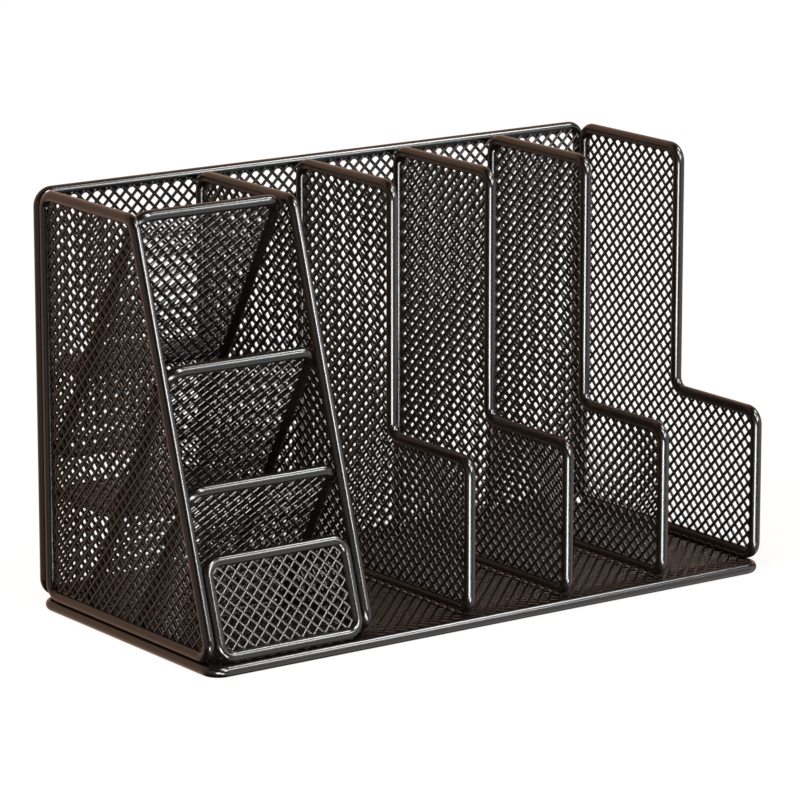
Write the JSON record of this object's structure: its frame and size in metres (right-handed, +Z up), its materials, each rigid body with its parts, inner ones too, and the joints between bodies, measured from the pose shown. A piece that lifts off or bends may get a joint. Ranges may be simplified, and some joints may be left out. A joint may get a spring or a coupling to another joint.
{
  "type": "mesh desk organizer",
  "caption": "Wire-mesh desk organizer with leaning pen pockets in a bay at the left and upright file bays between stepped dividers, on one mesh base.",
  "frame": {"origin": "on the desk, under the middle of the base", "axes": "+Z up, +Y to the back, +X to the right as seen from the front"},
  "size_m": [0.32, 0.15, 0.202],
  "materials": {
    "wire_coat": "satin black powder coat on round steel wire",
    "mesh_coat": "satin black powder coat on expanded steel mesh"
  },
  "bodies": {
    "root": {"back_frame": "wire_coat", "back_net": "mesh_coat", "base_frame": "wire_coat", "base_net": "mesh_coat", "file_divider_1_frame": "wire_coat", "file_divider_1_net": "mesh_coat", "file_divider_2_frame": "wire_coat", "file_divider_2_net": "mesh_coat", "file_divider_3_frame": "wire_coat", "file_divider_3_net": "mesh_coat", "front_pocket_frame": "wire_coat", "front_pocket_net": "mesh_coat", "left_side_frame": "wire_coat", "left_side_net": "mesh_coat", "lower_shelf_frame": "wire_coat", "lower_shelf_net": "mesh_coat", "middle_pocket_frame": "wire_coat", "middle_pocket_net": "mesh_coat", "pen_divider_frame": "wire_coat", "pen_divider_net": "mesh_coat", "pen_front_frame": "wire_coat", "pen_front_net": "mesh_coat", "rear_pocket_frame": "wire_coat", "rear_pocket_net": "mesh_coat", "right_side_frame": "wire_coat", "right_side_net": "mesh_coat", "upper_shelf_frame": "wire_coat", "upper_shelf_net": "mesh_coat"}
  },
  "joints": []
}
